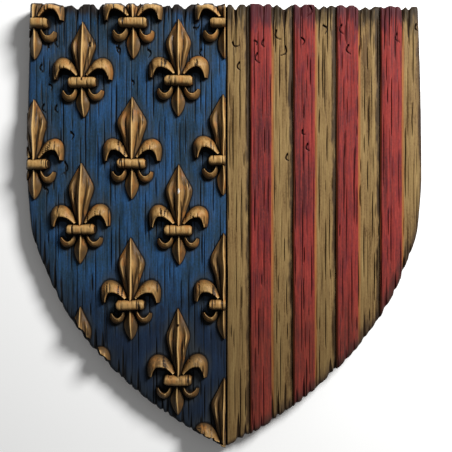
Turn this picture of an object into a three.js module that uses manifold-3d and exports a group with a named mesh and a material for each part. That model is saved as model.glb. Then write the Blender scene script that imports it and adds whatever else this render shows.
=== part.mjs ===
// Heater shield: a flat board carved with gilt lilies on its left half and with
// raised red pales between gold ones on its right half. It lies on its back:
// +Z is the carved front, +Y is the straight top edge, and the point is at -Y.
// Lengths are in millimetres.

import * as THREE from 'three';
import { mergeVertices } from 'three/addons/utils/BufferGeometryUtils.js';
import Module from 'manifold-3d';

const wasm = await Module();
wasm.setup();

// The board.
const HEIGHT = 450;            // top edge to point
const WIDTH = 402;             // at the shoulders
const BOARD = 18;              // thickness, back to field
const RIM = 1.5;               // worn chamfer along both rims
const SHOULDER_LEVEL = 278;    // height of the widest place above the point
const SIDE_RADIUS = 3600;      // the sides swell very slightly
const SHOULDER_RADIUS = 270;
const SHOULDER_TURN = 41.9;    // degrees of the shoulder's arc, before the lower one
const ARC_STEPS = 12;

// The worn ends of the grain along the top edge.
const NOTCH_PITCH = 15.5;
const NOTCH_DEPTH = 3.4;
const NOTCH_WIDTH = 8;

// The right half: pales side by side, gold first, each red one raised.
const SEAM = 1.8;              // place of the scored middle line, right of centre
const SEAM_WIDTH = 2;
const SEAM_DEPTH = 2.2;
const FIRST_PALE = 24.5;
const PALE = 22;
const RED_PALES = 4;
const RED_RISE = 2;

// Grain cracks: long boat-shaped cuts.
const CRACKS = 32;
const CRACK_WIDTH = 2.2;
const CRACK_DEPTH = 1.3;

// One lily, measured from the middle of its band.
const LEAF_LENGTH = 62;        // at the top of the field
const LEAF_GROWTH = 0.02;      // lower lilies are longer by this share of their depth
const LEAF_HALF = 15;
const LEAF_NECK = 5.5;
const LEAF_WIDEST = 0.4;       // share of the leaf's length from its tip
const LEAF_RIDGE = 9.5;
const LEAF_EDGE = 2.4;
const PETAL_REACH = 28;
const PETAL_CROWN = 22;
const PETAL_THICK = 12.5;
const PETAL_END = 4.5;
const PETAL_RISE = 10;
const BAND_HALF = 14.5;
const BAND_THICK = 10.5;
const BAND_RISE = 11.5;
const CURL_REACH = 19.5;
const CURL_DROP = 17;
const CURL_THICK = 6;
const CURL_RISE = 6.5;
const FOOT_LENGTH = 36;
const FOOT_HALF = 6.5;
const FOOT_RIDGE = 7;
const SINK = 3;                // how far the lilies reach down into the board

// The lattice of lilies: each column's spine from the centre and its number of lilies,
// and for alternate columns the first band below the top edge and the pitch.
const SPINES = [-192, -144, -94, -47, -1];
const COLUMNS = [2, 3, 3, 3, 4];
const EVEN = { first: 21, pitch: 142 };
const ODD = { first: 80, pitch: 150 };

// A solid from a three.js geometry.
function solid(geometry) {
  geometry.deleteAttribute('normal');
  geometry.deleteAttribute('uv');
  const merged = mergeVertices(geometry, 1e-4);
  const vertProperties = new Float32Array(merged.attributes.position.array);
  const triVerts = new Uint32Array(merged.index.array);
  return new wasm.Manifold(new wasm.Mesh({ numProp: 3, vertProperties, triVerts }));
}

// A box whose corners are placed one by one, around the point at: u runs across from
// -1 to 1, v along from 0 to 1. place gives x, y and the height over the field.
function formed(at, across, along, place) {
  const geometry = new THREE.BoxGeometry(2, 1, 1, across, along, 1);
  const position = geometry.attributes.position;
  for (let i = 0; i < position.count; i++) {
    const [x, y, height] = place(position.getX(i), position.getY(i) + 0.5);
    const rise = position.getZ(i) > 0 ? height : -SINK;
    position.setXYZ(i, at.x + x, at.y + y, BOARD + rise);
  }
  return solid(geometry);
}

// How far the worn top edge drops below its highest line at x.
function topDrop(x) {
  let drop = 0;
  const count = Math.floor(WIDTH / NOTCH_PITCH);
  for (let k = 0; k <= count; k++) {
    const place = -WIDTH / 2 + NOTCH_PITCH * (k + 0.3 * Math.sin(2.4 * k));
    const depth = NOTCH_DEPTH * (0.7 + 0.3 * Math.sin(1.7 * k));
    const away = (x - place) / (NOTCH_WIDTH / 2);
    drop = Math.max(drop, depth / (1 + away * away));
  }
  return drop;
}

// The right edge from the point, at 0, 0, to the top corner: three arcs that meet smoothly.
function rightEdge() {
  const shoulder = new THREE.Vector2(WIDTH / 2 - SHOULDER_RADIUS, SHOULDER_LEVEL);
  const turn = THREE.MathUtils.degToRad(SHOULDER_TURN);
  const inward = new THREE.Vector2(-Math.cos(turn), Math.sin(turn));
  const joint = shoulder.clone().addScaledVector(inward, -SHOULDER_RADIUS);
  // The lower arc leaves the joint in the shoulder's direction and ends at the point.
  const lowerRadius = -joint.lengthSq() / (2 * inward.dot(joint));
  const lower = joint.clone().addScaledVector(inward, lowerRadius);
  const side = new THREE.Vector2(WIDTH / 2 - SIDE_RADIUS, SHOULDER_LEVEL);
  const topTurn = Math.asin((HEIGHT - SHOULDER_LEVEL) / SIDE_RADIUS);
  const path = new THREE.Path();
  path.absarc(lower.x, lower.y, lowerRadius, Math.atan2(-lower.y, -lower.x), -turn, false);
  path.absarc(shoulder.x, shoulder.y, SHOULDER_RADIUS, -turn, 0, false);
  path.absarc(side.x, side.y, SIDE_RADIUS, 0, topTurn, false);
  return path.getPoints(ARC_STEPS).map((p) => p.sub(new THREE.Vector2(0, HEIGHT / 2)));
}

// The whole outline, as a solid plate from z = 0 up to the given top, with worn rims.
function plate(top) {
  const right = rightEdge();
  const corner = right.pop();
  const steps = 3 * Math.floor(WIDTH / NOTCH_PITCH);
  const edge = [];
  for (let i = 0; i <= steps; i++) {
    const x = corner.x * (1 - 2 * i / steps);
    edge.push(new THREE.Vector2(x, HEIGHT / 2 - topDrop(x)));
  }
  const left = right.slice(1).reverse().map((p) => new THREE.Vector2(-p.x, p.y));
  const shape = new THREE.Shape([...right, ...edge, ...left]);
  const geometry = new THREE.ExtrudeGeometry(shape, {
    depth: top - 2 * RIM, bevelEnabled: true, bevelSegments: 1,
    bevelThickness: RIM, bevelSize: RIM, bevelOffset: -RIM,
  });
  return solid(geometry.translate(0, 0, RIM));
}

// The pointed upper leaf: a ridge down the middle, hollow flanks and a raised edge.
function leafHalf(s) {
  if (s < LEAF_WIDEST) return Math.max(0.4, LEAF_HALF * (s / LEAF_WIDEST) ** 0.75);
  const q = (s - LEAF_WIDEST) / (1 - LEAF_WIDEST);
  return LEAF_NECK + (LEAF_HALF - LEAF_NECK) * (1 - q) ** 1.6;
}

function leaf(at, length) {
  return formed(at, 4, 7, (u, v) => {
    const s = 1 - v;
    const swell = 0.35 + 0.65 * Math.sin(Math.PI * Math.min(0.5, 1.1 * s));
    const flank = LEAF_EDGE + (LEAF_RIDGE - LEAF_EDGE) * (1 - Math.abs(u)) ** 1.7;
    return [u * leafHalf(s), length * v, flank * swell];
  });
}

// A strip bent along a curve. It is highest on the hollow side of the bend and falls to
// the outer side: outer is 1 where that lies left of the curve's run, or -1. hand mirrors it.
function swept(at, curve, along, thick, rise, outer, hand) {
  return formed(at, 3, along, (u, v) => {
    const point = curve.getPoint(v);
    const run = curve.getTangent(v);
    const left = -hand * u;
    const off = left * thick(v) / 2;
    const fall = (1 + outer * left) / 2;
    return [hand * (point.x - run.y * off), point.y + run.x * off,
      rise(v) * Math.sqrt(1 - 0.92 * fall ** 2)];
  });
}

function petal(at, hand) {
  const curve = new THREE.CubicBezierCurve(
    new THREE.Vector2(3, 9), new THREE.Vector2(12, PETAL_CROWN),
    new THREE.Vector2(PETAL_REACH - 1, PETAL_CROWN - 1), new THREE.Vector2(PETAL_REACH, 1));
  const thick = (t) => PETAL_END + (PETAL_THICK - PETAL_END) * Math.sin(Math.PI * t ** 0.85);
  const rise = (t) => PETAL_RISE * (0.75 + 0.25 * Math.sin(Math.PI * t));
  return swept(at, curve, 7, thick, rise, 1, hand);
}

// The lower curl bends the other way, so its high side is the upper one.
function curl(at, hand) {
  const curve = new THREE.CubicBezierCurve(
    new THREE.Vector2(5.5, -6), new THREE.Vector2(8, -CURL_DROP - 1),
    new THREE.Vector2(CURL_REACH - 4, -CURL_DROP - 2), new THREE.Vector2(CURL_REACH, -9.5));
  const thick = (t) => 2 + (CURL_THICK - 2) * Math.sin(Math.PI * t);
  return swept(at, curve, 5, thick, () => CURL_RISE, -1, hand);
}

// The half-round band that ties the leaves together.
function band(at) {
  return formed(at, 1, 6, (u, v) => {
    const turn = Math.PI * (1 - v);
    const height = BAND_RISE * (0.3 + 0.7 * Math.sin(turn));
    return [u * BAND_HALF, BAND_THICK / 2 * Math.cos(turn), height];
  });
}

// The small leaf below the band.
function foot(at) {
  return formed(at, 2, 4, (u, v) => {
    const half = Math.max(0.4, FOOT_HALF * Math.sin(Math.PI * v ** 0.75) ** 0.8 + 2.5 * v ** 6);
    const height = FOOT_RIDGE * (0.3 + 0.7 * (1 - Math.abs(u)) ** 1.3) * (0.45 + 0.55 * v ** 0.5);
    return [u * half, -FOOT_LENGTH * (1 - v), height];
  });
}

function lily(at, length) {
  const parts = [leaf(at, length), band(at), foot(at)];
  for (const hand of [-1, 1]) {
    parts.push(petal(at, hand), curl(at, hand));
  }
  return parts.reduce((sum, piece) => sum.add(piece));
}

// Raised red pales, from the second pale on, every other one.
function redPale(k) {
  const x = SEAM + FIRST_PALE + 2 * k * PALE;
  const bar = new THREE.BoxGeometry(PALE, 2 * HEIGHT, RED_RISE + SINK);
  return solid(bar.translate(x + PALE / 2, 0, BOARD + (RED_RISE - SINK) / 2));
}

// A grain crack: one long flat octahedron, sunk to half its height in the field.
function crack(k) {
  const x = WIDTH * (((k + 0.5) * 0.618) % 1 - 0.5);
  const y = HEIGHT * (0.46 - 0.62 * ((k * 0.381) % 1));
  const length = 40 + 50 * ((k * 0.271) % 1);
  const boat = new THREE.OctahedronGeometry(1);
  return solid(boat.scale(CRACK_WIDTH / 2, length / 2, CRACK_DEPTH).translate(x, y, BOARD));
}

// The board with its pales, cracks and middle line.
let shield = plate(BOARD);
for (let k = 0; k < CRACKS; k++) shield = shield.subtract(crack(k));
const paleLimit = plate(BOARD + RED_RISE);
for (let k = 0; k < RED_PALES; k++) {
  shield = shield.add(redPale(k).intersect(paleLimit));
}
const line = new THREE.BoxGeometry(SEAM_WIDTH, 2 * HEIGHT, 2 * SEAM_DEPTH);
shield = shield.subtract(solid(line.translate(SEAM, 0, BOARD)));

// The lilies stop at the outline and at the middle line.
const field = new THREE.BoxGeometry(WIDTH, 2 * HEIGHT, 4 * BOARD);
const lilyLimit = plate(2 * BOARD).intersect(
  solid(field.translate(SEAM - SEAM_WIDTH / 2 - WIDTH / 2, 0, BOARD)));
COLUMNS.forEach((lilies, column) => {
  const rows = column % 2 ? ODD : EVEN;
  for (let row = 0; row < lilies; row++) {
    const depth = rows.first + row * rows.pitch;
    const at = new THREE.Vector2(SPINES[column], HEIGHT / 2 - depth);
    const placed = lily(at, LEAF_LENGTH + LEAF_GROWTH * depth);
    shield = shield.add(placed.intersect(lilyLimit));
  }
});

const cut = shield.getMesh();
const geometry = new THREE.BufferGeometry();
geometry.setAttribute('position', new THREE.BufferAttribute(cut.vertProperties, cut.numProp));
geometry.setIndex(new THREE.BufferAttribute(cut.triVerts, 1));
geometry.computeVertexNormals();

const mesh = new THREE.Mesh(geometry, new THREE.MeshStandardMaterial({
  name: 'carved_painted_wood', color: 0x4a4a55, roughness: 0.6, metalness: 0,
}));
mesh.name = 'shield';

const model = new THREE.Group();
model.name = 'heater_shield';
model.add(mesh);

export default model;
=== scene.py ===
# %% [markdown]
# # A carved and painted heater shield
# The real shield is one flat wooden board. A carver sank long grain cracks into it, left
# gilt lilies standing on the left half and raised the red pales on the right half, and a
# painter rubbed dark wash into every recess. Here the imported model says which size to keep
# to, and the two halves are carved again as fine closed meshes, parted only along the scored
# middle line.

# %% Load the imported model
import math

import bmesh
import bpy
import numpy as np
from mathutils import Matrix, Vector


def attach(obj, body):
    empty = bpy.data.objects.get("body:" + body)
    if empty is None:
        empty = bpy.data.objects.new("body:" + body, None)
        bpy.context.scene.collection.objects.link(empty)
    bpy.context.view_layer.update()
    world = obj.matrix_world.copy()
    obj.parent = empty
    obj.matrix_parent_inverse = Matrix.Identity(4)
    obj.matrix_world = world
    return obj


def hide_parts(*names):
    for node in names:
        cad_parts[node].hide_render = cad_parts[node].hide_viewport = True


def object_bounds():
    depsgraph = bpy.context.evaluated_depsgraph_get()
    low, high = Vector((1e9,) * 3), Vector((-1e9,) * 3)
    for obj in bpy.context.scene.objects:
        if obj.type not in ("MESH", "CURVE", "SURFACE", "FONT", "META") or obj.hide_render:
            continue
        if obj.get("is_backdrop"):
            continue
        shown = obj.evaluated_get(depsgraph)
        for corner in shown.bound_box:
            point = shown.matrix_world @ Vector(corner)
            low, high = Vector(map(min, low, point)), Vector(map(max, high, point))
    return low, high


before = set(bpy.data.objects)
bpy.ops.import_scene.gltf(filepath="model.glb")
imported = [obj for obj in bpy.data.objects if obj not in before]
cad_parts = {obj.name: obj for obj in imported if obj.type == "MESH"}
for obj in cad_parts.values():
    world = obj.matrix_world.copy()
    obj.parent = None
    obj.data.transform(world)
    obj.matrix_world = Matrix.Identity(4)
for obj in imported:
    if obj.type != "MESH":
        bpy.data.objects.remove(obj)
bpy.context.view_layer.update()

MM = 0.001

# %% [markdown]
# ## Height maps
# Weathered wood is easiest to carve as a height map: a table of depths over the board that
# every later step can read. It could be painted as an image, but worked out in code it stays
# sharp and editable. All lengths below are in millimetres, x to the right and y to the top
# of the shield, and the maps have one sample every STEP.

# %% The sample grid, noise, blur and reading
STEP = 0.4
REACH_X, REACH_Y = 204.0, 228.0
xs = np.arange(-REACH_X, REACH_X + STEP / 2, STEP)
ys = np.arange(-REACH_Y, REACH_Y + STEP / 2, STEP)
X, Y = np.meshgrid(xs, ys)
rng = np.random.default_rng(609)


def eased(places, cell):
    """The cell that each place lies in, and an eased share of the way through it."""
    first = np.floor(places / cell).astype(int)
    t = places / cell - first
    return first, t * t * (3 - 2 * t)


def grain_noise(cell_x, cell_y):
    """Smooth random values from -1 to 1 in lanes along y, each lane with its own beat."""
    lanes = int(2 * REACH_X / cell_x) + 3
    knots = int(2 * REACH_Y / cell_y) + 4
    field = np.empty((len(ys), lanes))
    for lane in range(lanes):
        values = rng.uniform(-1, 1, knots)
        first, t = eased(ys + REACH_Y + rng.uniform(0, cell_y), cell_y)
        field[:, lane] = values[first] * (1 - t) + values[first + 1] * t
    first, t = eased(xs + REACH_X, cell_x)
    return field[:, first] * (1 - t) + field[:, first + 1] * t


def blur(field, sigma):
    """The field smoothed over about sigma millimetres."""
    fy = np.fft.fftfreq(field.shape[0], STEP)[:, None]
    fx = np.fft.rfftfreq(field.shape[1], STEP)[None, :]
    soft = np.exp(-2 * (math.pi * sigma) ** 2 * (fx ** 2 + fy ** 2))
    return np.fft.irfft2(np.fft.rfft2(field) * soft, field.shape)


def read(field, x, y):
    """The field's value at any points, between its samples."""
    cx = np.clip((x + REACH_X) / STEP, 0, len(xs) - 1.001)
    cy = np.clip((y + REACH_Y) / STEP, 0, len(ys) - 1.001)
    ix, iy = cx.astype(int), cy.astype(int)
    tx, ty = cx - ix, cy - iy
    low = field[iy, ix] * (1 - tx) + field[iy, ix + 1] * tx
    high = field[iy + 1, ix] * (1 - tx) + field[iy + 1, ix + 1] * tx
    return low * (1 - ty) + high * ty


def smoothstep(low, high, value):
    """0 at low, 1 at high, smooth between; low may be the larger one."""
    t = np.clip((value - low) / (high - low), 0, 1)
    return t * t * (3 - 2 * t)


print("height maps:", X.shape[1], "by", X.shape[0], "samples")

# %% [markdown]
# ## The outline
# A heater shield has nearly straight sides, a rounded shoulder on each side and a flatter
# arc down to the point. Three arcs that meet smoothly draw each side.

# %% Arcs from the point to the top corner
BOARD = 18.0                    # thickness up to the field
HALF_WIDTH, HALF_HEIGHT = 201.0, 225.0
SHOULDER_Y = 53.0
SIDE_RADIUS, SHOULDER_RADIUS = 3600.0, 270.0
SHOULDER_TURN = math.radians(41.9)
SPACING = 1.0                   # between the outline's points


def arc(centre, radius, start, end):
    """Points on an arc, its last one left to the next arc."""
    steps = max(2, int(radius * abs(end - start) / SPACING))
    turn = np.linspace(start, end, steps, endpoint=False)
    return np.stack([centre[0] + radius * np.cos(turn), centre[1] + radius * np.sin(turn)], 1)


shoulder = np.array([HALF_WIDTH - SHOULDER_RADIUS, SHOULDER_Y])
inward = np.array([-math.cos(SHOULDER_TURN), math.sin(SHOULDER_TURN)])
joint = shoulder - SHOULDER_RADIUS * inward
point = np.array([0.0, -HALF_HEIGHT])
lower_radius = (point - joint) @ (point - joint) / (2 * inward @ (point - joint))
lower = joint + lower_radius * inward
side = np.array([HALF_WIDTH - SIDE_RADIUS, SHOULDER_Y])
lower_start = math.atan2(point[1] - lower[1], point[0] - lower[0])
right_side = np.concatenate([
    arc(lower, lower_radius, lower_start, -SHOULDER_TURN),
    arc(shoulder, SHOULDER_RADIUS, -SHOULDER_TURN, 0),
    arc(side, SIDE_RADIUS, 0, math.asin((HALF_HEIGHT - SHOULDER_Y) / SIDE_RADIUS))])
# The saw ran a little wide below the shoulder: at this height, over this reach, by this much.
SWELL_Y, SWELL_REACH, SWELL = -10.0, 20.0, 1.9
right_side[:, 0] += SWELL * np.exp(-((right_side[:, 1] - SWELL_Y) / SWELL_REACH) ** 2)
print("right side:", len(right_side), "points, lower radius", round(lower_radius))

# %% [markdown]
# ## Worn notches
# Where the saw met the grain, along the top and the two lower edges, the wood has worn back
# between its fibres, so cracks end in notches. Those of the top edge are large enough to be
# read off the photograph one by one; the small ones below come from the seeded generator.

# %% Notches in the top and the lower edges
PHOTO_MM = 450 / 444            # millimetres for one pixel of the photograph
PHOTO_CENTRE = (224.2, 225.0)   # the shield's centre in it
# Place, depth and half width of each notch in the top edge, in pixels.
TOP_NOTCHES = [
    (26, 6, 5), (63, 2.2, 9), (76, 4.2, 6), (97, 4.5, 4), (125, 1.8, 3), (137, 2.8, 3),
    (150, 1.0, 2), (163, 1.9, 7), (171, 3.4, 2.5), (184, 3.8, 6), (201, 2.3, 3),
    (218, 2.0, 6), (226, 2.0, 2), (235, 4.8, 4), (246, 2.0, 2), (263, 2.0, 3.5),
    (273, 2.1, 3.5), (284, 4.2, 7), (300, 2.6, 4), (319, 3.4, 5), (327, 2.2, 3),
    (336, 1.0, 3), (346, 2.0, 3), (360, 3.4, 6), (370, 2.8, 5), (384, 2.0, 5),
    (395, 1.2, 4), (402, 3.0, 4), (409, 3.2, 3), (424, 5, 5)]
RIGHT_SAG = 2.2                 # the top edge runs a little down to the right
LOW_FROM, POINT_HALF = 192.0, 8.0       # the lower notches leave the point whole
LOW_WEAR = 1.0                  # their mean depth, so that the mean line stays on the arcs
CORNER_WEAR = 0.3               # the sides stop this far under the worn corners
WALL_TURN = 9                   # points either way that a wall's direction is taken over


def notch_depth(notches, x):
    """How deep the worn notches cut in from the edge at x."""
    depth = np.zeros_like(x)
    for place, deep, half in notches:
        away = np.abs(x - place) / half
        depth = np.maximum(depth, deep * np.clip(1 - away ** 1.6, 0, 1))
    return depth


top_notches = [((px - PHOTO_CENTRE[0]) * PHOTO_MM, deep * PHOTO_MM, half * PHOTO_MM)
               for px, deep, half in TOP_NOTCHES]
low_notches = []
place = -LOW_FROM
while place < LOW_FROM:
    notch = (place, rng.uniform(0.7, 2.7), rng.uniform(1.4, 4))
    if abs(place) > POINT_HALF:
        low_notches.append(notch)
    place += rng.uniform(4.5, 12)


def top_line(x):
    """The height of the worn top edge at x."""
    sag = RIGHT_SAG * smoothstep(20, 190, x)
    return HALF_HEIGHT - sag - notch_depth(top_notches, x)


corner = right_side[-1]
top_x = np.arange(corner[0], -corner[0], -0.8)
top_edge = np.stack([top_x, top_line(top_x)], 1)
left_side = right_side[::-1] * [-1, 1]
below_right = right_side[:, 1] < top_edge[0, 1] - CORNER_WEAR
below_left = left_side[:, 1] < top_edge[-1, 1] - CORNER_WEAR
outline = np.concatenate([right_side[below_right], top_edge, left_side[below_left][:-1]])
# Taken over some points either way, so that the wall's steps never cross in a notch.
along = np.roll(outline, -WALL_TURN, 0) - np.roll(outline, WALL_TURN, 0)
along /= np.linalg.norm(along, axis=1)[:, None]
inside_way = np.stack([-along[:, 1], along[:, 0]], 1)
across_grain = np.where(outline[:, 1] < SHOULDER_Y, np.abs(along[:, 0]), 0)
ragged = (notch_depth(low_notches, outline[:, 0]) - LOW_WEAR) * across_grain ** 1.5
outline = outline + inside_way * ragged[:, None]
print("outline:", len(outline), "points,", len(low_notches), "notches below")

# %% [markdown]
# ## Inside or outside
# Later steps ask of any point whether it lies on the board, and how near to the rim. A map
# that is 1 on the board and 0 beside it answers the first, and the same map blurred answers
# the second. It is filled row by row between the outline's crossings.

# %% Where the board is, as a map
inside = np.zeros(X.shape)
ends = np.roll(outline, -1, 0)
for row, level in enumerate(ys):
    hit = (outline[:, 1] <= level) != (ends[:, 1] <= level)
    a, b = outline[hit], ends[hit]
    crossings = np.sort(a[:, 0] + (level - a[:, 1]) * (b[:, 0] - a[:, 0]) / (b[:, 1] - a[:, 1]))
    for start, stop in zip(crossings[::2], crossings[1::2]):
        inside[row, (xs >= start) & (xs <= stop)] = 1
print("front area in square cm:", round(inside.sum() * STEP * STEP / 100))

# %% [markdown]
# ## Cracks and grain in the field
# Old painted oak opens along its grain. The long dark lines are real cuts here, not paint:
# each is a shallow V that follows a slightly wandering line and tapers at both ends. Cracks
# that reach the rim are widest there. Soft noise drawn out along y gives the flutes and the
# fine ridges between them.

# %% Cutting tools for the maps
SEAM = 1.8                      # where the middle line runs
GRIDS = [(-203.0, SEAM, 320, 180), (SEAM, 203.0, 430, 250)]     # x from, to; columns and rows


def grid_column(x):
    """The nearest column of the grids that become the board, so that a cut stays clean."""
    low, high, columns, _ = GRIDS[int(x > SEAM)]
    return low + round((x - low) / (high - low) * columns) * (high - low) / columns


def window(x_low, x_high, y_low, y_high):
    """The rows and columns of the maps inside a box."""
    cols = slice(*np.searchsorted(xs, [x_low, x_high]))
    rows = slice(*np.searchsorted(ys, [y_low, y_high]))
    return rows, cols


def cut_crack(field, x, y, length, half, depth):
    """A tapered V along the grain, kept where it is deeper than what is there."""
    x = grid_column(x)
    rows, cols = window(x - half - 2, x + half + 2, y - length / 2, y + length / 2)
    t = (Y[rows, cols] - y) / length + 0.5
    body = np.sin(np.pi * np.clip(t, 0, 1)) ** 0.3
    sway = 0.12 * np.sin(2 * np.pi * (t * length / rng.uniform(25, 70) + rng.uniform()))
    away = np.abs(X[rows, cols] - x - sway) / (half * body + 0.05)
    cut = depth * body * np.clip(1.15 - away, 0, 1)
    field[rows, cols] = np.maximum(field[rows, cols], cut)


def cut_end(field, x, y, way, length, half, depth):
    """A groove from an edge: wide and deep there, gone after its length."""
    low, high = sorted((y - 8 * way, y + way * length))
    rows, cols = window(x - half - 2, x + half + 2, low, high)
    t = np.clip((Y[rows, cols] - y) * way / length, 0, 1)
    body = (1 - t) ** 0.8
    away = np.abs(X[rows, cols] - x) / (half * body + 0.2)
    cut = depth * body * np.clip(1 - away ** 1.7, 0, 1)
    field[rows, cols] = np.maximum(field[rows, cols], cut)


def cut_worm(field, x, y, run_x, run_y, half=0.7, depth=2.0):
    """A beetle track: a round hole with a shallow tail that bends away from it."""
    bend = 0.35 * np.array([-run_y, run_x]) * rng.choice([-1, 1])
    for t in np.linspace(0, 1, 24):
        here = np.array([x, y]) + t * np.array([run_x, run_y]) + math.sin(math.pi * t) * bend
        size = half * (1.2 - 0.55 * t)
        rows, cols = window(here[0] - 2, here[0] + 2, here[1] - 2, here[1] + 2)
        away = np.hypot(X[rows, cols] - here[0], Y[rows, cols] - here[1]) / size
        cut = depth * (1 - 0.55 * t) * np.clip(1.3 - away ** 2, 0, 1)
        field[rows, cols] = np.maximum(field[rows, cols], cut)


# %% Cracks of the field
cracks = np.zeros(X.shape)
# About one crack stands in each of these columns; the pales have more of them.
for column in [*np.arange(-HALF_WIDTH, SEAM, 6.2), *np.arange(SEAM, HALF_WIDTH, 5.2)]:
    y = -HALF_HEIGHT + rng.uniform(0, 40)
    while y < HALF_HEIGHT - 10:
        length = rng.choice([rng.uniform(12, 30), rng.uniform(26, 85)], p=[0.3, 0.7])
        half = rng.uniform(0.46, 0.7) if column < SEAM else rng.uniform(0.36, 0.6)
        cut_crack(cracks, column + rng.uniform(0, 5), y + length / 2, length, half,
                  rng.uniform(0.5, 1.5))
        y += length * rng.uniform(1.0, 1.35) + rng.uniform(0, 16)
for x, deep, half in top_notches:
    cut_end(cracks, x, HALF_HEIGHT - deep, -1, rng.uniform(9, 26), half * 0.4, deep * 0.8)
    cut_crack(cracks, x, HALF_HEIGHT - 22, rng.uniform(40, 70), 0.65, rng.uniform(0.8, 1.5))
for x, deep, half in low_notches:
    edge_y = np.interp(abs(x), right_side[:, 0], right_side[:, 1])
    cut_end(cracks, x, edge_y, 1, rng.uniform(8, 42), half * 0.6, deep)
print("deepest crack:", round(cracks.max(), 2), "mm")

# %% [markdown]
# ## Beetle tracks
# Furniture beetles leave round holes a millimetre or two wide, and where the surface has worn
# away a short curved tunnel shows. Each track is a hole with a tail that grows shallow.

# %% The tracks, at their places in the photograph
# Hole x and y and the way the tail runs, in pixels, y downwards.
TRACKS = [
    (232, 42, 7, 3), (239, 62, 1, 8), (254, 41, 2, 4), (263, 40, 1, 7), (257, 53, 2, 10),
    (276, 30, 5, 9), (285, 46, -5, 9), (301, 38, 1, 7), (309, 6, -2, 10), (323, 25, 2, 8),
    (341, 25, 2, 9), (348, 45, 2, 9), (396, 34, 3, 8), (416, 24, 2, 6), (302, 130, 3, 5),
    (307, 144, 2, 7), (287, 154, 2, 7), (118, 46, 2, 7), (147, 49, 1, 8), (131, 80, 1, 5),
    (48, 84, 2, 6), (41, 64, 1, 7), (56, 39, 1, 7), (48, 43, 2, 5), (43, 104, 2, 8),
    (56, 105, 1, 7), (70, 132, 1, 7), (64, 162, -3, 12), (43, 188, 3, 7), (193, 27, 6, -3),
    (201, 49, 1, 7), (116, 47, 3, 6), (90, 44, 1, 3), (83, 80, 1, 2), (193, 217, 3, 1),
    (177, 324, 1, 2)]
worms = np.zeros(X.shape)
for px, py, run_x, run_y in TRACKS:
    cut_worm(worms, (px - PHOTO_CENTRE[0]) * PHOTO_MM, (PHOTO_CENTRE[1] - py) * PHOTO_MM,
             run_x * PHOTO_MM, -run_y * PHOTO_MM)
print("beetle tracks:", len(TRACKS))

# %% [markdown]
# ## The pales
# The right half is paly: gold and red bars side by side. The red ones stand a little proud,
# with soft shoulders, and the gold between them falls away towards the next red bar, where it
# is darkened partly as wash and partly as painted shade beside the raised bar.

# %% Raised red bars
FIRST_PALE, PALE, RED_RISE = 23.8, 22.0, 2.0
wander = 0.45 * grain_noise(40, 60)
bar = (X + wander - SEAM - FIRST_PALE) / PALE
phase = bar % 2                 # 0 to RED_END on a red bar, from there to 2 on a gold one
SHOULDER, RED_END = 0.08, 1.04
red = smoothstep(0, SHOULDER, phase) * (1 - smoothstep(RED_END - SHOULDER, RED_END, phase))
red *= (bar > 0) & (bar < 8)
valley = 1.3 * np.exp(-((2 - phase) / 0.2) ** 2) * (phase > 1)
on_pales = smoothstep(SEAM, SEAM + 1, X)
print("red share of the right half:", round(red.sum() / (inside * (X > SEAM)).sum(), 2))

# %% [markdown]
# ## The ground
# Everything so far is added up to one height map for both halves: the broad flutes that the
# gouge left, the fine fibres, the red bars, and all the cuts taken away. Towards the rim the
# wood is worn down, which the blurred inside map gives for nothing.

# %% The ground of both halves
flutes = 0.34 * grain_noise(7, 220) + 0.16 * grain_noise(3.1, 120)
fibres = 0.12 * grain_noise(1.4, 60) + 0.08 * grain_noise(0.9, 14)
seam_cut = 2.2 * np.clip(1.25 - (np.abs(X - SEAM) / 1.1) ** 2, 0, 1)
soft_inside = blur(inside, 1.5)
rim_drop = 2.6 * np.clip(2 * (1 - soft_inside), 0, 1.4) ** 1.3
ground = flutes + fibres - 0.25 + on_pales * (RED_RISE * red - valley * (1 - red))
ground = ground - np.maximum(cracks, worms) - seam_cut - rim_drop
print("ground from", round(ground[inside > 0].min(), 1), "to", round(ground.max(), 1), "mm")

# %% [markdown]
# ## The board
# A board with that ground could be one displaced plane, but it has to be a closed solid with
# a crisp outline. So a fine grid is moved to the height map and closed below, the outline is
# drawn up as a prism, and what both share is the board.

# %% Helpers for closed meshes
FIELD, WOOD, GILT = 0, 1, 2      # the material slots that faces are given


def new_object(name, bm, paint=FIELD):
    """An object from a bmesh, with its normals outward and one paint on all its faces."""
    mesh = bpy.data.meshes.new(name)
    bmesh.ops.recalc_face_normals(bm, faces=bm.faces)
    for face in bm.faces:
        face.material_index = paint
    print(name, "has", sum(not e.is_manifold for e in bm.edges), "open edges")
    bm.to_mesh(mesh)
    bm.free()
    obj = bpy.data.objects.new(name, mesh)
    bpy.context.scene.collection.objects.link(obj)
    return obj


def combine(target, tool, operation):
    """A Boolean of two closed meshes, applied at once; the tool is deleted."""
    modifier = target.modifiers.new("combine", "BOOLEAN")
    modifier.solver = "MANIFOLD"
    modifier.operation = operation
    modifier.material_mode = "INDEX"
    modifier.object = tool
    shaped = bpy.data.meshes.new_from_object(
        target.evaluated_get(bpy.context.evaluated_depsgraph_get()))
    target.modifiers.clear()
    old, target.data = target.data, shaped
    bpy.data.meshes.remove(old)
    bpy.data.objects.remove(tool)
    print(operation.lower(), target.name, "->", len(shaped.vertices), "points")


def flat_places(verts):
    """The x and y of each vertex, as an array."""
    return np.array([v.co[:2] for v in verts])


def put(verts, x, y, z):
    """Moves each vertex to its new place."""
    for vert, place in zip(verts, np.stack([x, y, z], 1)):
        vert.co = place


def open_rim(verts):
    """The open edges round a sheet, in the same order each time."""
    return list(dict.fromkeys(e for v in verts for e in v.link_edges if e.is_boundary))


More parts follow.
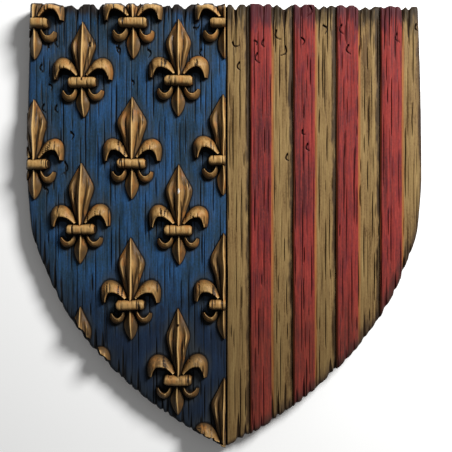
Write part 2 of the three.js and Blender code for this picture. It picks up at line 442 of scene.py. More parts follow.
def close_below(bm, verts, level):
    """Turns a sheet's open rim down to a level and closes it with one face."""
    down = bmesh.ops.extrude_edge_only(bm, edges=open_rim(verts))["geom"]
    for item in down:
        if isinstance(item, bmesh.types.BMVert):
            item.co.z = level
    edges = [e for e in down if isinstance(e, bmesh.types.BMEdge) and e.is_boundary]
    bmesh.ops.contextual_create(bm, geom=edges)


# %% [markdown]
# ## The walls
# Sawn edges are never quite plumb, and the corner at the back is worn round. Extruding the
# outline again and again, each new ring a little in or out, gives such a wall in one loop.

# %% The outline drawn up into a prism
# Height over the back and how far the wall stands in there; the last is far over the board.
PRISM_TOP = 45
ROUGH = 0.12
WALL = [(0, 1.1), (0.5, 0.5), (1.6, 0.1), (5, 0.25), (9, 0.1), (13, 0.3), (16, 0.1),
        (PRISM_TOP, 0)]


def outline_prism(shy=0.0):
    """The whole outline as a solid, drawn in by shy along the two lower edges."""
    low = smoothstep(-60, -100, outline[:, 1]) * smoothstep(1, 8, np.abs(outline[:, 0]))
    bm = bmesh.new()
    step = bm.verts.layers.int.new("step")
    verts = [bm.verts.new((x, y, 0)) for x, y in outline]
    for i, vert in enumerate(verts):
        vert[step] = i
    cap = bm.faces.new(verts)
    for level, inset in WALL:
        if level:
            grown = bmesh.ops.extrude_face_region(bm, geom=[cap, *cap.edges])["geom"]
            cap = next(item for item in grown if isinstance(item, bmesh.types.BMFace))
        jitter = rng.uniform(-1, 1, len(outline) + 8)
        rough = ROUGH * np.convolve(jitter, np.ones(9), "valid") / 3
        inset = inset + shy * low + np.abs(rough) * (level < PRISM_TOP)
        place = outline + inside_way * inset[:, None]
        for vert in cap.verts:
            vert.co = (*place[vert[step]], level)
    return new_object("outline", bm, WOOD)


# %% The two slabs
BELOW = -5                      # the slabs are closed here, under the back that cuts them


def slab(name, x_low, x_high, across, upward):
    """A grid moved to the ground, twice as fine round the beetle tracks."""
    bm = bmesh.new()
    verts = bmesh.ops.create_grid(bm, x_segments=across, y_segments=upward, size=0.5)["verts"]
    bmesh.ops.scale(bm, verts=verts, vec=(x_high - x_low, 2 * REACH_Y - 2, 1))
    bmesh.ops.translate(bm, verts=verts, vec=((x_low + x_high) / 2, 0, 0))
    flat = flat_places(verts)
    close = read(near_track, flat[:, 0], flat[:, 1]) > 0.02
    chosen = {verts[i] for i in np.flatnonzero(close)}
    edges = [e for e in bm.edges if e.verts[0] in chosen and e.verts[1] in chosen]
    bmesh.ops.subdivide_edges(bm, edges=edges, cuts=1, use_grid_fill=True)
    verts = list(bm.verts)
    x, y = flat_places(verts).T
    put(verts, x, y, BOARD + read(ground, x, y))
    close_below(bm, verts, BELOW)
    board = new_object(name, bm)
    combine(board, outline_prism(), "INTERSECT")
    return board


near_track = blur(worms, 1.0)
left = slab("lily_half", *GRIDS[0])
right = slab("paly_half", *GRIDS[1])

# %% [markdown]
# ## The lilies
# Each lily is carved from seven lumps: a pointed leaf with a sharp ridge, hollow flanks and
# a raised edge; two petals that arch out and hang down; a half-round band; two small curls
# and a foot below it. They could be cut into the height map too, but their sides are steep,
# so each lump is its own closed grid whose points follow the shape's outline, and a Boolean
# joins it to the board.

# %% The section of each lump, over u from -1 to 1 across and v from 0 to 1 along
def through(points, at):
    """A smooth line through a few measured points, read at any places."""
    px, py = np.array(points, float).T
    slope = np.gradient(py, px)
    i = np.clip(np.searchsorted(px, at) - 1, 0, len(px) - 2)
    span = px[i + 1] - px[i]
    t = np.clip((at - px[i]) / span, 0, 1)
    u = 1 - t
    return (py[i] * u * u * (1 + 2 * t) + py[i + 1] * t * t * (1 + 2 * u)
            + span * t * u * (slope[i] * u - slope[i + 1] * t))


# Below the tip of a leaf 66 mm long: half width, height of the ridge, of the edge, and of
# the rolled lobe beside it.
LEAF_HALF = [(0, 0.4), (6, 4.2), (12, 8), (18, 11.9), (22, 14.2), (26, 15), (30, 14.3),
             (36, 12.2), (41, 10.5), (46, 8.9), (52, 7), (58, 5.2), (67, 4.2)]
LEAF_RIDGE = [(0, 3.6), (8, 6.0), (18, 8.6), (28, 10.4), (45, 10), (56, 9.4), (67, 9)]
LEAF_EDGE = [(0, 1.8), (10, 2.2), (28, 3.0), (45, 2.6), (56, 3.4), (67, 4.5)]
LEAF_LOBE = [(0, 0), (12, 0.3), (20, 1.8), (28, 2.7), (36, 2.3), (46, 1.0), (54, 0.4), (67, 0)]


def leaf_shape(length, wide):
    """The pointed leaf: a ridge, a groove and a rolled lobe on either side of it."""
    def shape(u, v):
        below = np.clip(1 - v, 0, 1) * 66
        half = wide * through(LEAF_HALF, below)
        ridge, edge, lobe = (through(line, below) for line in (LEAF_RIDGE, LEAF_EDGE, LEAF_LOBE))
        side = np.abs(u)
        height = edge + (ridge - edge) * np.clip(1 - side, 0, 1) ** 1.7
        height += lobe * np.exp(-((side - 0.76) / 0.18) ** 2)
        height += 0.9 * np.exp(-(u * half / 1.25) ** 2)
        height -= 0.8 * np.exp(-((side - 0.46) / 0.08) ** 2) * smoothstep(14, 26, below)
        return u * half, 1 + (length - 1) * v, height
    return shape


def strip_shape(points, thick, rise, hand, outer, lip):
    """A strip bent along a Bezier curve, high on the side opposite to outer."""
    p = np.array(points, float)

    def shape(u, v):
        t = np.clip(v, 0, 1)[:, None]
        way = 3 * ((1 - t) ** 2 * (p[1] - p[0]) + 2 * t * (1 - t) * (p[2] - p[1])
                   + t ** 2 * (p[3] - p[2]))
        way /= np.linalg.norm(way, axis=1)[:, None]
        middle = ((1 - t) ** 3 * p[0] + 3 * (1 - t) ** 2 * t * p[1]
                  + 3 * (1 - t) * t ** 2 * p[2] + t ** 3 * p[3]) + way * (v[:, None] - t) * 40
        left = -hand * u
        off = left * thick(t[:, 0]) / 2
        fall = np.clip((1 + outer * left) / 2, 0, 1)
        height = rise(t[:, 0]) * (1 - 0.66 * fall ** 2.6)
        height += lip * np.exp(-((fall - 0.12) / 0.1) ** 2)
        return hand * (middle[:, 0] - way[:, 1] * off), middle[:, 1] + way[:, 0] * off, height
    return shape


def petal_shape(hand):
    """A petal that arches out and hangs down, widest half way; hand is 1 or -1."""
    def thick(t):
        return through([(0, 3.2), (0.2, 6.5), (0.4, 10.4), (0.55, 12), (0.72, 10.6),
                        (0.86, 7), (1, 3)], t)

    def rise(t):
        return np.interp(t, [0, 0.35, 0.75, 1], [8, 11, 10, 6])
    return strip_shape([(4.5, 7), (13, 20), (27.2, 27), (27.6, 3)], thick, rise, hand, 1, 0.6)


def curl_shape(hand):
    """The small curl that hooks up under the band."""
    def thick(t):
        return through([(0, 2), (0.3, 4.6), (0.6, 6), (0.85, 4.8), (1, 2.6)], t)

    def rise(t):
        return np.interp(t, [0, 0.4, 1], [6, 7.5, 5.5])
    hook = [(6.2, -6.5), (8, -18), (17.5, -19.5), (20.2, -8.5)]
    return strip_shape(hook, thick, rise, hand, -1, 0.5)


def band_shape(u, v):
    """The half-round band with its ends rounded off."""
    w = 2 * v - 1
    end = np.sqrt(np.clip(1 - (np.clip(np.abs(u) - 0.8, 0, 1) / 0.24) ** 2, 0.45, 1))
    height = 12 * (0.3 + 0.7 * np.sqrt(np.clip(1 - np.abs(0.98 * w) ** 2.6, 0, 1)))
    return 13.8 * u, 5.1 * w * end, height * (0.8 + 0.2 * end)


# Below the band's middle: half width of the foot.
FOOT_HALF = [(0, 2.4), (6, 2), (10, 3.2), (15, 5.5), (19, 6.4), (24, 5.9), (29, 4.3),
             (33, 2.2), (35.5, 0.3)]


def foot_shape(u, v):
    """The pointed foot below the band, a small leaf hanging down."""
    below = np.clip(1 - v, 0, 1) * 35.5
    half = through(FOOT_HALF, below)
    side = np.abs(u)
    ridge = np.interp(below, [0, 8, 20, 35.5], [6, 7.5, 7.5, 2.6])
    height = 2 + (ridge - 2) * np.clip(1 - side, 0, 1) ** 1.4
    height += 0.3 * np.exp(-((side - 0.8) / 0.14) ** 2) + 0.5 * np.exp(-(u * half / 1.1) ** 2)
    return u * half, -1 - 34.5 * (1 - v), height


# %% [markdown]
# ## Sowing the field
# The field is sown with lilies in staggered rows, and those at the rim and the middle line
# are cut off by them. The bands stand nearer to the camera than the field, so they show a
# little further out from the middle of the picture than they are, and that is put right here.

# %% Where the lilies stand
# Each band's middle as it shows in the photograph and the leaf's length from there, both in
# pixels, and how wide the leaf is beside the widest kind.
LILIES = [
    (32, 21, 61, 0.8), (131.5, 21, 61, 0.8), (224, 21, 61, 0.8), (81, 81, 61, 0.81),
    (177.4, 79.3, 62, 0.86), (32, 163, 65, 0.8), (130.6, 162.9, 67, 0.96),
    (223, 159.7, 66.5, 0.94), (78.7, 229, 66.5, 0.82), (177.8, 230.4, 66, 0.85),
    (129.3, 305.4, 67, 0.84), (223.3, 305, 71, 0.88), (176.8, 381, 70.5, 0.78),
    (78.5, 373, 65, 0.7), (223.5, 449.5, 69.5, 0.85)]
MIDDLE_PX = 226.0               # the middle of the picture
NEARER = 1.013
lilies = []
for px, py, leaf, wide in LILIES:
    flat_x = MIDDLE_PX + (px - MIDDLE_PX) / NEARER
    flat_y = MIDDLE_PX + (py - MIDDLE_PX) / NEARER
    lilies.append(((flat_x - PHOTO_CENTRE[0]) * PHOTO_MM,
                   (PHOTO_CENTRE[1] - flat_y) * PHOTO_MM, leaf * PHOTO_MM / NEARER, wide))
print("lilies:", len(lilies))

# %% [markdown]
# ## The carver's hand
# Two slow fields of noise push every point a little aside, veins and chisel marks are cut
# into the gilding, and near the rim the lilies sink as the board does. All lumps read the
# same maps, so a crack runs on from one to the next.

# %% Hand-carved unevenness, the same for every lump that it passes through
DRIFT, DRIFT_CELL = 0.4, 9


def soft_noise(size):
    """Noise that is smooth every way, brought back to about 1 after the blur."""
    return blur(rng.normal(size=X.shape), size) * size / STEP * 3.5


drift_x = DRIFT * soft_noise(DRIFT_CELL)
drift_y = DRIFT * soft_noise(DRIFT_CELL)
veins = np.zeros(X.shape)
for x, y, _, _ in lilies:
    for _ in range(16):
        cut_crack(veins, x + rng.uniform(-13, 13), y + rng.uniform(-4, 50),
                  rng.uniform(9, 26), rng.uniform(0.45, 0.75), rng.uniform(0.5, 1.1))
    for _ in range(18):
        cut_crack(veins, x + rng.choice([-1, 1]) * rng.uniform(7, 29), y + rng.uniform(-6, 24),
                  rng.uniform(7, 16), rng.uniform(0.5, 0.75), rng.uniform(0.6, 1.5))
chisel = 0.22 * grain_noise(2.2, 14) + 0.16 * grain_noise(5, 8)
print("deepest vein:", round(veins.max(), 2), "mm")
lily_cut = veins + 0.35 * cracks + worms * 0.8 - chisel + 0.7 * rim_drop
rim_fall = 0.25 + 0.75 * smoothstep(0.5, 0.97, blur(inside, 3))
SKIRT = 2.0                     # how far the lumps reach down into the board
LEAST = 0.6                     # and how far they stand over it at least


def lump_place(shape, x, y, u, v, on_rim):
    """Where a lump's points stand on the shield, with the hand's unevenness."""
    px, py, height = shape(u, v)
    px, py = px + x, py + y
    height = height * read(rim_fall, px, py) - read(lily_cut, px, py)
    height = np.where(on_rim, -SKIRT, np.maximum(height, LEAST))
    return px + read(drift_x, px, py), py + read(drift_y, px, py), BOARD + height


def carve(bm, x, y, shape, across, upward):
    """One lump: a grid whose outermost ring is a skirt, closed below by one face."""
    grid = bmesh.ops.create_grid(bm, x_segments=across, y_segments=upward, size=1)["verts"]
    flat = flat_places(grid)
    on_rim = np.abs(flat).max(1) > 0.999
    stretched = flat / (1 - 2 / np.array([across, upward]))
    u = np.clip(stretched[:, 0], -1.06, 1.06)
    v = (np.clip(stretched[:, 1], -1.02, 1.02) + 1) / 2
    put(grid, *lump_place(shape, x, y, u, v, on_rim))
    bmesh.ops.contextual_create(bm, geom=open_rim(grid))


# %% Carve the lilies, lump by lump, and join them to the board
LUMP_INSET = 4.6                # the lower rim is bare of gilding this far in
SEAM_GAP = 1.0                  # the lilies end this far short of the middle line


def lily_group(name, lumps):
    """The same lumps of every lily as one tool, cut off at the outline and the seam."""
    bm = bmesh.new()
    for x, y, length, wide in lilies:
        for shape, across, upward in lumps(length, wide, read(inside, x, y) > 0.5):
            carve(bm, x, y, shape, across, upward)
    group = new_object(name, bm, GILT)
    combine(group, outline_prism(LUMP_INSET), "INTERSECT")
    cube = bmesh.new()
    bmesh.ops.create_cube(cube, size=1)
    bmesh.ops.scale(cube, verts=cube.verts, vec=(400, 500, 100))
    bmesh.ops.translate(cube, verts=cube.verts, vec=(SEAM - SEAM_GAP - 200, 0, 0))
    combine(group, new_object("left_of_seam", cube, GILT), "INTERSECT")
    return group


def leaves_feet_curls(length, wide, whole):
    """Shapes, columns and rows; a lily isn't whole where its band is off the board."""
    leaf = [(leaf_shape(length, wide), 36, 42)]
    rest = [(foot_shape, 16, 26), (curl_shape(-1), 10, 20), (curl_shape(1), 10, 20)]
    return leaf + rest if whole else leaf


def petals(length, wide, whole):
    return [(petal_shape(-1), 16, 32), (petal_shape(1), 16, 32)]


def bands(length, wide, whole):
    return [(band_shape, 34, 16)] if whole else []


for lumps in (leaves_feet_curls, petals, bands):
    combine(left, lily_group(lumps.__name__, lumps), "UNION")

# %% [markdown]
# ## What the paint needs to know
# Antique wash lies in every recess and wears off every edge. The shader can't see what is
# next to a point, so that is measured here once and kept on the mesh as attributes: how far
# each point lies below or above the surface around it, near and further off, and how far
# below what stands to the upper right of it, towards the lamp, which steers painted shade.

# %% The finished surface as one map, lilies included
surface = ground.copy()
lily_map = np.full(X.shape, -10.0)
dense_u, dense_v = np.meshgrid(np.linspace(-1, 1, 150), np.linspace(0, 1, 330))
dense_u, dense_v = dense_u.ravel(), dense_v.ravel()
for x, y, length, wide in lilies:
    for lumps in (leaves_feet_curls, petals, bands):
        for shape, _, _ in lumps(length, wide, read(inside, x, y) > 0.5):
            px, py, pz = lump_place(shape, x, y, dense_u, dense_v, False)
            keep = (px < SEAM - SEAM_GAP) & (np.abs(px) < REACH_X - 1) & (np.abs(py) < REACH_Y - 1)
            ix = np.rint((px[keep] + REACH_X) / STEP).astype(int)
            iy = np.rint((py[keep] + REACH_Y) / STEP).astype(int)
            np.maximum.at(lily_map, (iy, ix), pz[keep] - BOARD)
gilded = (lily_map > surface) & (inside > 0)
surface = np.maximum(surface, lily_map)
open_air = np.where(inside > 0, surface, -BOARD)


def mean_over(mask, sigma):
    """The surface's mean height round each place, taken only over the mask."""
    return blur(surface * mask, sigma) / np.maximum(blur(mask.astype(float), sigma), 0.02)


near, mid, wide = (mean_over(inside, sigma) for sigma in (1.0, 3.0, 8.0))
leaf_near = mean_over(gilded, 1.2)
above = blur(open_air, 1.0)
print("highest point over the field:", round(surface.max(), 1), "mm")


# %% Keep it on the meshes
CHIP = (lilies[9][0] + 0.1, lilies[9][1] + 39)  # lost gilding on one ridge shows the white ground


def store(mesh, name, values):
    """One number for each point of the mesh, under a name that a shader can ask for."""
    layer = mesh.attributes.new(name, "FLOAT", "POINT")
    layer.data.foreach_set("value", np.asarray(values, np.float32))


def measure(obj):
    """Reads all the maps at the points of a mesh."""
    mesh = obj.data
    co = np.empty(3 * len(mesh.vertices))
    mesh.vertices.foreach_get("co", co)
    x, y, z = co.reshape(-1, 3).T
    rise = z - BOARD
    store(mesh, "recess", np.clip(read(near, x, y) - rise, 0, 3))
    store(mesh, "hollow", np.clip(read(mid, x, y) - rise, 0, 6))
    store(mesh, "shade", np.clip(read(wide, x, y) - rise, -6, 8))
    # for painted shade: how far a point lies below the surface towards the lamp at the upper right
    store(mesh, "under", np.clip(read(above, x + 2, y + 3.5) - rise, 0, 8))
    store(mesh, "crest", np.clip(rise - read(leaf_near, x, y), 0, 3))
    store(mesh, "crack", read(np.maximum(cracks, worms), x, y))
    store(mesh, "vein", read(veins + 0.8 * worms, x, y))
    chip = np.hypot((x - CHIP[0]) / 1.3, (y - CHIP[1]) / 2.8)
    store(mesh, "chip", 1 - smoothstep(0.7, 1.0, chip))
    store(mesh, "flute", read(flutes, x, y))
    store(mesh, "bar", read(bar, x, y))
    store(mesh, "rim", 1 - read(blur(inside, 5), x, y))
    store(mesh, "margin", 1 - read(blur(inside, 16), x, y))
    print(obj.name, "crest up to", round(float(np.max(rise - read(near, x, y))), 1), "mm")


measure(left)
measure(right)

# %% [markdown]
# ## The paints
# Every finish here is thin paint over carved wood, then a brown-black wash wiped back with a
# cloth, then a little dry brushing on what stands proud. A picture texture would blur when
# seen from close, so the paints are node trees: a tone that varies with long grain noise,
# and over it the wash and the worn edges, steered by the attributes.

# %% A short hand for shader nodes
SHEEN = 0.12                    # old paint and stain reflect little


def linear(colour):
    """A colour from 0 to 255 as the shader counts it."""
    return [((c / 255 + 0.055) / 1.055) ** 2.4 for c in colour] + [1.0]


def add(tree, kind, values, **settings):
    """A node with its settings made and each input linked or filled in."""
    node = tree.nodes.new("ShaderNode" + kind)
    for key, value in settings.items():
        setattr(node, key, value)
    for key, value in values.items():
        if isinstance(value, bpy.types.NodeSocket):
            tree.links.new(value, node.inputs[key])
        else:
            node.inputs[key].default_value = value
    return node


def measured(tree, name):
    """What was stored on the mesh under this name."""
    return add(tree, "Attribute", {}, attribute_name=name).outputs["Fac"]


def place_along(tree, axis):
    """Where the point lies along an axis of the shield, in metres."""
    place = add(tree, "TexCoord", {}).outputs["Object"]
    return add(tree, "SeparateXYZ", {0: place}).outputs[axis]


def grain(tree, across, upward, seed, detail=3.0):
    """Noise in cells of so many millimetres, drawn out along the grain."""
    place = add(tree, "TexCoord", {}).outputs["Object"]
    scale = (1 / (across * MM), 1 / (upward * MM), 1 / (across * MM))
    place = add(tree, "Mapping", {"Vector": place, "Scale": scale, "Location": (seed, 0, 0)})
    noise = add(tree, "TexNoise", {"Vector": place.outputs["Vector"], "Scale": 1.0,
                                   "Detail": detail, "Roughness": 0.6})
    return noise.outputs["Fac"]


def calc(tree, operation, a, b, clamp=False):
    return add(tree, "Math", {0: a, 1: b}, operation=operation, use_clamp=clamp).outputs[0]


def ease(tree, value, low, high, most=1.0):
    """0 where the value is at low, most where it is at high, smooth between."""
    node = add(tree, "MapRange", {"Value": value, "From Min": low, "From Max": high,
                                  "To Max": most}, interpolation_type="SMOOTHSTEP")
    return node.outputs["Result"]


def most_of(tree, *values):
    """The largest of several values."""
    result = values[0]
    for value in values[1:]:
        result = calc(tree, "MAXIMUM", result, value)
    return result


def total(tree, *shares):
    """The sum of value times share."""
    result = 0.0
    for value, share in shares:
        result = add(tree, "Math", {0: value, 1: share, 2: result},
                     operation="MULTIPLY_ADD").outputs[0]
    return result


def tones(tree, value, stops):
    """A colour ramp from a list of places and colours."""
    ramp = add(tree, "ValToRGB", {"Fac": value})
    ends = ramp.color_ramp.elements
    while len(ends) < len(stops):
        ends.new(0.5)
    for element, (place, colour) in zip(ends, stops):
        element.position = place
        element.color = linear(colour)
    return ramp.outputs["Color"]


def coat(tree, under, amount, over):
    """The colour over laid on the colour under, by amount."""
    under, over = (c if isinstance(c, bpy.types.NodeSocket) else linear(c) for c in (under, over))
    return add(tree, "Mix", {0: amount, 6: under, 7: over}, data_type="RGBA").outputs[2]


def finish(material, colour, rough, height, depth):
    """Ties the colour, the gloss and the finest relief to the shader."""
    tree = material.node_tree
    shader = tree.nodes["Principled BSDF"]
    tree.links.new(colour, shader.inputs["Base Color"])
    tree.links.new(rough, shader.inputs["Roughness"])
    bump = add(tree, "Bump", {"Height": height, "Distance": depth * MM, "Strength": 0.8})
    tree.links.new(bump.outputs["Normal"], shader.inputs["Normal"])
    shader.inputs["Specular IOR Level"].default_value = SHEEN
    print(material.name, "has", len(tree.nodes), "nodes")


def new_paint(name):
    material = bpy.data.materials.new(name)
    material.use_nodes = True
    return material, material.node_tree


# %% [markdown]
# ## Blue
# The field was painted a clear blue and then dulled. Layers are laid on in the painter's
# order: the blue in its tones, grey smoke in patches, the darker lower part, a grey ring round
# the lilies that is partly painted shade, the worn rim, and last the black wash in cracks,
# with painted shade under the lilies and in the pockets between them.

# %% Blue field
blue_paint, tree = new_paint("blue_paint")
fibre = grain(tree, 0.7, 14, 1)
lane = grain(tree, 2.6, 60, 2)
patch = grain(tree, 30, 45, 3, 2)
smoke = grain(tree, 7, 18, 17, 3)
fleck = grain(tree, 1.6, 2.4, 18, 1)
upward = place_along(tree, "Y")
tone = total(tree, (fibre, 0.26), (lane, 0.26), (patch, 0.36), (fleck, 0.16),
             (measured(tree, "flute"), 0.1))
colour = tones(tree, tone, [(0.42, (25, 41, 53)), (0.5, (31, 56, 78)),
                            (0.57, (33, 67, 104)), (0.68, (44, 85, 126))])
colour = coat(tree, colour, ease(tree, smoke, 0.5, 0.72, 0.6), (32, 50, 60))
low_down = total(tree, (ease(tree, upward, 0.02, -0.15), 0.9), (smoke, 0.5), (patch, 0.4))
colour = coat(tree, colour, ease(tree, low_down, 0.66, 1.3, 0.85), (19, 25, 38))
# partly painted shade, partly grey glaze: the field darkens round the foot of each lily
shade_haze = ease(tree, measured(tree, "shade"), 0.3, 2.4, 0.5)
colour = coat(tree, colour, shade_haze, (52, 54, 52))
worn = total(tree, (measured(tree, "margin"), 1.0), (patch, 0.5))
colour = coat(tree, colour, ease(tree, worn, 0.3, 0.75, 0.85), (28, 34, 40))
top = total(tree, (ease(tree, upward, 0.204, 0.226), 0.7), (smoke, 0.8))
colour = coat(tree, colour, ease(tree, top, 0.6, 1.0, 0.9), (34, 27, 22))
hairline = ease(tree, grain(tree, 0.5, 45, 13, 1), 0.62, 0.68, 0.45)
# black wash in cracks and recesses; under the lilies and in the pockets between them it is painted
# shade
recess = most_of(tree, ease(tree, measured(tree, "crack"), 0.12, 0.6), hairline,
                 ease(tree, measured(tree, "recess"), 0.25, 0.9, 0.8),
                 ease(tree, measured(tree, "under"), 1.2, 4.5),
                 ease(tree, measured(tree, "hollow"), 1.2, 3.0))
colour = coat(tree, colour, recess, (13, 13, 14))
rough = ease(tree, fibre, 0.3, 0.7, 0.25)
finish(blue_paint, colour, calc(tree, "ADD", rough, 0.5), fibre, 0.25)

# %% [markdown]
# ## Gilding
# The lilies aren't bright leaf but old bronze paint over brown. What stands high caught the
# dry brush and is palest, and its ridges and lips carry a painted highlight besides. The side
# away from the lamp is painted grey-brown as shade, the veins are filled with wash, and the
# pockets between the lumps are darkened as painted shade. On one ridge the white ground shows
# through a chip.

# %% Gilt lilies
gilt_paint, tree = new_paint("gilt_paint")
fibre = grain(tree, 0.8, 7, 4)
stroke = grain(tree, 3, 12, 5)
warm = grain(tree, 10, 16, 6, 2)
height = place_along(tree, "Z")
tone = total(tree, (fibre, 0.26), (stroke, 0.36), (warm, 0.2),
             (ease(tree, height, (BOARD + 3) * MM, (BOARD + 11) * MM), 0.22))
colour = tones(tree, tone, [(0.4, (90, 66, 37)), (0.52, (128, 95, 53)),
                            (0.64, (165, 130, 80)), (0.76, (190, 156, 100))])
colour = coat(tree, colour, ease(tree, warm, 0.5, 0.66, 0.55), (146, 92, 43))
upward = place_along(tree, "Y")
dirt = total(tree, (stroke, 0.7), (fibre, 0.3), (ease(tree, upward, 0.03, -0.17), 0.15),
             (ease(tree, height, (BOARD + 8) * MM, (BOARD + 3) * MM), 0.12))
colour = coat(tree, colour, ease(tree, dirt, 0.55, 0.76, 0.75), (62, 48, 32))
# dry brushing and a painted highlight: ridges and lips that stand proud are lightened
colour = coat(tree, colour, ease(tree, measured(tree, "crest"), 0.1, 0.7, 0.75), (196, 161, 106))
colour = coat(tree, colour, measured(tree, "chip"), (226, 226, 224))
# painted shade: the sides turned away from the lamp at the upper right are darkened grey-brown
flank = ease(tree, measured(tree, "under"), 0.4, 2.8, 0.8)
colour = coat(tree, colour, flank, (72, 62, 47))
colour = coat(tree, colour, ease(tree, measured(tree, "rim"), 0.22, 0.48, 0.8), (44, 33, 23))
# wash in veins and recesses, and painted shade in the pockets between the lumps
low = most_of(tree, ease(tree, measured(tree, "vein"), 0.15, 0.7),
              ease(tree, measured(tree, "recess"), 0.15, 0.8),
              ease(tree, measured(tree, "hollow"), 1.0, 3.0, 0.9))
colour = coat(tree, colour, low, (36, 25, 15))
rough = ease(tree, stroke, 0.3, 0.7, 0.2)
finish(gilt_paint, colour, calc(tree, "ADD", rough, 0.36), fibre, 0.25)

# %% [markdown]
# ## Red and gold
# Both colours are one paint, because they meet in a ragged line that follows the grain.
# The bar attribute counts the pales, and its remainder says where across a pair of them a
# point lies. An orange line is left where the red was painted over the edge of the gold.

# %% Red and gold pales
pale_paint, tree = new_paint("pale_paint")
fibre = grain(tree, 0.7, 16, 7)
lane = grain(tree, 2.2, 70, 8)
patch = grain(tree, 22, 60, 9, 2)
smoke = grain(tree, 5, 24, 14, 3)
fleck = grain(tree, 1.6, 2.4, 19, 1)
upward = place_along(tree, "Y")
tone = total(tree, (fibre, 0.28), (lane, 0.36), (patch, 0.28), (fleck, 0.12),
             (measured(tree, "flute"), 0.1))
place = measured(tree, "bar")
ragged = calc(tree, "ADD", place, total(tree, (fibre, 0.05), (lane, 0.04), (0.045, -1.0)))
phase = calc(tree, "FLOORED_MODULO", ragged, 2.0)
gold = tones(tree, tone, [(0.42, (86, 64, 36)), (0.48, (118, 94, 58)),
                          (0.56, (131, 107, 67)), (0.68, (148, 125, 80))])
# partly wash, partly painted shade: the gold darkens towards the left edge of the next raised red
# bar
valley_wash_and_shade = total(tree, (ease(tree, phase, 1.6, 1.93), 0.6), (smoke, 1.0),
             (ease(tree, upward, 0.0, 0.2), 0.18))
gold = coat(tree, gold, ease(tree, valley_wash_and_shade, 0.84, 1.2, 0.92), (44, 31, 22))
near_red = calc(tree, "MULTIPLY", ease(tree, phase, 0.96, 1.02), ease(tree, phase, 1.15, 1.04))
near_red = calc(tree, "MULTIPLY", near_red, ease(tree, place, -0.8, -0.6, 0.7))
gold = coat(tree, gold, near_red, (146, 80, 34))
red_coat = tones(tree, tone, [(0.42, (76, 30, 31)), (0.48, (105, 41, 38)),
                              (0.56, (129, 45, 40)), (0.68, (148, 60, 52))])
red_coat = coat(tree, red_coat, ease(tree, smoke, 0.48, 0.68, 0.5), (84, 29, 39))
is_red = calc(tree, "MULTIPLY", ease(tree, phase, 1.015, 0.985), ease(tree, phase, 0.0, 0.02))
is_red = calc(tree, "MULTIPLY", is_red, ease(tree, place, -0.5, -0.4))
colour = coat(tree, gold, is_red, red_coat)
edge_line = calc(tree, "MULTIPLY", ease(tree, phase, 0.08, 0.03), ease(tree, place, -0.5, -0.4))
colour = coat(tree, colour, calc(tree, "MULTIPLY", edge_line, 0.7), (138, 70, 32))
low_down = total(tree, (ease(tree, upward, 0.05, -0.15), 0.5), (patch, 0.6), (smoke, 0.3))
colour = coat(tree, colour, ease(tree, low_down, 0.55, 1.2, 0.5), (62, 44, 22))
rim = ease(tree, measured(tree, "rim"), 0.1, 0.48, 0.85)
colour = coat(tree, colour, rim, (44, 31, 23))
worn = total(tree, (measured(tree, "margin"), 1.1), (smoke, 0.6))
colour = coat(tree, colour, ease(tree, worn, 0.5, 0.82, 0.7), (46, 36, 31))
top = total(tree, (ease(tree, upward, 0.175, 0.226), 0.45), (smoke, 0.6), (lane, 0.9))
soot = coat(tree, (42, 34, 22), is_red, (66, 28, 34))
colour = coat(tree, colour, ease(tree, top, 0.9, 1.16, 0.9), soot)
hairline = ease(tree, grain(tree, 0.45, 45, 15, 1), 0.62, 0.68, 0.45)
low = most_of(tree, ease(tree, measured(tree, "crack"), 0.12, 0.65), hairline,
              ease(tree, measured(tree, "recess"), 0.2, 0.8))
wash = coat(tree, (40, 27, 14), calc(tree, "MULTIPLY", is_red, 0.85), (66, 21, 23))
colour = coat(tree, colour, low, wash)
rough = ease(tree, fibre, 0.3, 0.7, 0.25)
finish(pale_paint, colour, calc(tree, "ADD", rough, 0.5), fibre, 0.25)

# %% [markdown]
# ## Bare wood
# The back and the sawn edge don't show in the photograph. On such a shield they are seldom
# painted, so they get a plain brown stain with long grain.

# %% Bare stained wood, for the edge and the back
stained_wood, tree = new_paint("stained_wood")
fibre = grain(tree, 0.9, 30, 10)
lane = grain(tree, 6, 120, 11)
tone = total(tree, (fibre, 0.5), (lane, 0.5))
colour = tones(tree, tone, [(0.35, (44, 31, 21)), (0.5, (70, 50, 34)), (0.65, (96, 72, 48))])
rough = ease(tree, fibre, 0.3, 0.7, 0.2)
finish(stained_wood, colour, calc(tree, "ADD", rough, 0.6), fibre, 0.5)


# %% [markdown]
# ## Both halves, finished
# The meshes were made in millimetres and are scaled to metres only now. Slopes are shaded
# smooth and true edges are kept sharp. The calls at the end hang each half on the root body
# and hide the imported solid that it stands in for.

# %% Put each half together
SHARP = math.radians(48)        # edges that turn by more stay sharp


def finish_half(obj, *materials):
    mesh = obj.data
    slots = np.empty(len(mesh.polygons), np.int32)
    mesh.polygons.foreach_get("material_index", slots)
    mesh.materials.clear()      # the Boolean leaves an empty slot, and this forgets the indices
    for material in materials:
        mesh.materials.append(material)
    mesh.polygons.foreach_set("material_index", slots)
    mesh.transform(Matrix.Scale(MM, 4))
    mesh.shade_smooth()
    mesh.set_sharp_from_angle(angle=SHARP)
    for face in mesh.polygons:
        if face.normal.z < -0.95:   # the back stays flat right to its rim
            for i in face.loop_indices:
                mesh.edges[mesh.loops[i].edge_index].use_edge_sharp = True
    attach(obj, "root")
    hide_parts("shield")
    mesh.calc_loop_triangles()
    print(obj.name, len(mesh.loop_triangles), "triangles, faces by material:", np.bincount(slots))


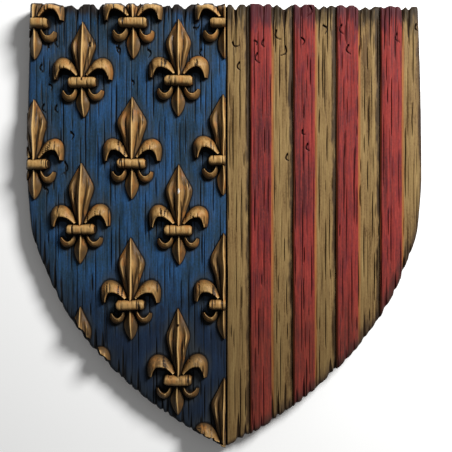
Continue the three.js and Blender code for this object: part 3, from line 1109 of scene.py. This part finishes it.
finish_half(left, blue_paint, stained_wood, gilt_paint)
finish_half(right, pale_paint, stained_wood)

# %% [markdown]
# ## The studio
# The shield lies on a pale floor, and the camera looks straight down on it, as the photograph
# shows its front. One soft lamp stands to the upper right, where the light comes from there
# too, and a weak white world fills the shadows.

# %% Floor, light and camera
floor_bm = bmesh.new()
bmesh.ops.create_grid(floor_bm, x_segments=1, y_segments=1, size=3)
bmesh.ops.translate(floor_bm, verts=floor_bm.verts, vec=(0, 0, -0.0003))
floor = new_object("floor", floor_bm)
pale_floor, tree = new_paint("pale_floor")
speck = tones(tree, grain(tree, 300, 300, 12), [(0.3, (247, 247, 246)), (0.7, (251, 251, 250))])
tree.links.new(speck, tree.nodes["Principled BSDF"].inputs["Base Color"])
floor.data.materials.append(pale_floor)
floor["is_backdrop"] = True
scene = bpy.context.scene
world = bpy.data.worlds.new("studio")
scene.world = world
world.use_nodes = True
sky = world.node_tree.nodes["Background"].inputs
sky["Color"].default_value = (1, 1, 1, 1)
sky["Strength"].default_value = 0.22

key = bpy.data.lights.new("key", "AREA")
key.shape, key.size, key.energy = "DISK", 0.45, 30
lamp = bpy.data.objects.new("key", key)
lamp.location = Vector((0.76, 0.74, 0.8))
lamp.rotation_euler = (-lamp.location).to_track_quat("-Z", "Y").to_euler()
scene.collection.objects.link(lamp)

LENS, SENSOR = 60.0, 36.0
VIEW_WIDTH = 452 * PHOTO_MM * MM
AIM = (1.4 * MM, -1.0 * MM)     # the photograph isn't framed quite about the middle
IN_SCALE = 19 * MM              # the height at which the view is as wide as the photograph
camera_data = bpy.data.cameras.new("camera")
camera_data.lens, camera_data.sensor_width = LENS, SENSOR
camera = bpy.data.objects.new("camera", camera_data)
camera.location = (*AIM, IN_SCALE + VIEW_WIDTH * LENS / SENSOR)
scene.collection.objects.link(camera)
scene.camera = camera
scene.view_settings.view_transform = "Standard"

# %% [markdown]
# ## Size
# The box of the finished shield is printed; the imported solid is hidden, so it is left out.

low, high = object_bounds()
print("visual box in mm:", [round((b - a) / MM, 1) for a, b in zip(low, high)])
